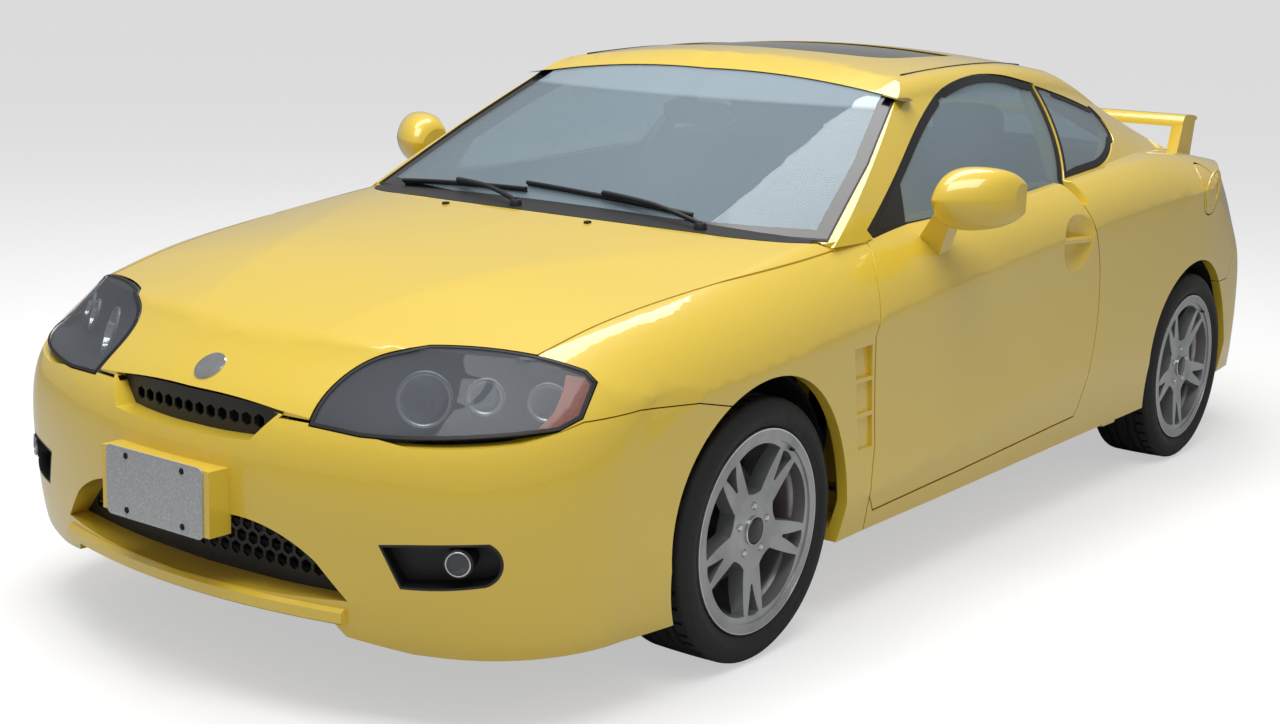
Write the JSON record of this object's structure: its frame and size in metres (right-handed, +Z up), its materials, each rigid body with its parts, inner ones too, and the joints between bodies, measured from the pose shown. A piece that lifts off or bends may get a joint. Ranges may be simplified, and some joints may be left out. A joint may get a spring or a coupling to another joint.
{
  "type": "two-door coupe car",
  "caption": "Two-door coupe car with opening doors, hood, hatch and fuel lid, steered front wheels and a hooped tail spoiler.",
  "frame": {"origin": "middle of the bounding box at ground level, under the car", "axes": "+X points to the rear, +Y to the car's right, +Z up"},
  "size_m": [4.4264, 2.06, 1.3267],
  "materials": {
    "paint": "gloss clear coat",
    "black_plastic": "satin",
    "glass": "clear, lightly tinted",
    "dark_glass": "dark tint",
    "lamp_glass": "smoked clear",
    "red_lens": "gloss",
    "steel": "plain",
    "cast_iron": "as cast",
    "aluminium": "plain",
    "alloy": "silver paint",
    "tyre": "rubber",
    "red_paint": "gloss",
    "trim": "grained",
    "fabric": "woven",
    "plate": "satin"
  },
  "bodies": {
    "body": {"front_bumper": "paint", "rear_bumper": "paint", "cowl": "black_plastic", "fender_left": "paint", "fender_right": "paint", "side_left": "paint", "side_right": "paint", "roof_panel": "paint", "windscreen": "glass", "sunroof_glass": "dark_glass", "quarter_glasses": "glass", "headlamps": "black_plastic", "headlamp_lenses": "lamp_glass", "fog_lamps": "black_plastic", "tail_lamps": "red_lens", "bulkhead": "steel", "floor_pan": "steel", "boot_floor": "steel", "front_structure": "steel", "engine_block": "cast_iron", "radiator": "aluminium", "front_suspension": "steel", "rear_suspension": "steel", "exhaust": "steel", "rear_calipers": "red_paint", "dashboard": "trim", "front_seats": "fabric", "rear_seat": "fabric", "number_plate": "plate", "grilles": "black_plastic"},
    "hood_lid": {"hood": "paint"},
    "tailgate": {"hatch": "paint", "hatch_glass": "glass", "spoiler": "paint"},
    "left_door": {"door_left": "paint", "door_glass_left": "glass", "mirror_left": "paint"},
    "right_door": {"door_right": "paint", "door_glass_right": "glass", "mirror_right": "paint"},
    "fuel_flap": {"fuel_lid": "paint"},
    "hand_wheel": {"steering_wheel": "trim"},
    "left_upright": {"knuckle_left": "cast_iron", "caliper_front_left": "red_paint"},
    "right_upright": {"knuckle_right": "cast_iron", "caliper_front_right": "red_paint"},
    "front_left_wheel": {"tyre_front_left": "tyre", "rim_front_left": "alloy", "disc_front_left": "steel"},
    "front_right_wheel": {"tyre_front_right": "tyre", "rim_front_right": "alloy", "disc_front_right": "steel"},
    "rear_left_wheel": {"tyre_rear_left": "tyre", "rim_rear_left": "alloy", "disc_rear_left": "steel"},
    "rear_right_wheel": {"tyre_rear_right": "tyre", "rim_rear_right": "alloy", "disc_rear_right": "steel"}
  },
  "joints": [
    {"name": "hood_hinge", "type": "hinge", "parent": "body", "child": "hood_lid", "pos_m": [-0.795, 0, 0.905], "axis": [0, 1, 0], "range_deg": [0, 50]},
    {"name": "hatch_hinge", "type": "hinge", "parent": "body", "child": "tailgate", "pos_m": [0.659, 0, 1.308], "axis": [0, -1, 0], "range_deg": [0, 60]},
    {"name": "left_door_hinge", "type": "hinge", "parent": "body", "child": "left_door", "pos_m": [-0.763, -0.88, 0.5], "axis": [0, 0, -1], "range_deg": [0, 65]},
    {"name": "right_door_hinge", "type": "hinge", "parent": "body", "child": "right_door", "pos_m": [-0.763, 0.88, 0.5], "axis": [0, 0, 1], "range_deg": [0, 65]},
    {"name": "fuel_lid_hinge", "type": "hinge", "parent": "body", "child": "fuel_flap", "pos_m": [1.274, -0.884, 0.888], "axis": [0, 0, -1], "range_deg": [0, 90]},
    {"name": "steer_left", "type": "hinge", "parent": "body", "child": "left_upright", "pos_m": [-1.209, -0.7, 0.306], "axis": [0, 0, 1], "range_deg": [-33, 33]},
    {"name": "steer_right", "type": "hinge", "parent": "body", "child": "right_upright", "pos_m": [-1.209, 0.7, 0.306], "axis": [0, 0, 1], "range_deg": [-33, 33]},
    {"name": "steering_wheel_turn", "type": "hinge", "parent": "body", "child": "hand_wheel", "pos_m": [-0.304, -0.37, 0.815], "axis": [0.9135, 0, 0.4067], "range_deg": [-500, 500]},
    {"name": "front_left_spin", "type": "hinge", "parent": "left_upright", "child": "front_left_wheel", "pos_m": [-1.209, -0.75, 0.306], "axis": [0, 1, 0], "continuous": true},
    {"name": "front_right_spin", "type": "hinge", "parent": "right_upright", "child": "front_right_wheel", "pos_m": [-1.209, 0.75, 0.306], "axis": [0, 1, 0], "continuous": true},
    {"name": "rear_left_spin", "type": "hinge", "parent": "body", "child": "rear_left_wheel", "pos_m": [1.321, -0.75, 0.306], "axis": [0, 1, 0], "continuous": true},
    {"name": "rear_right_spin", "type": "hinge", "parent": "body", "child": "rear_right_wheel", "pos_m": [1.321, 0.75, 0.306], "axis": [0, 1, 0], "continuous": true}
  ],
  "couplings": [
    {"joint": "steer_right", "follows": "steer_left", "ratio": 1},
    {"joint": "steering_wheel_turn", "follows": "steer_left", "ratio": 15}
  ]
}
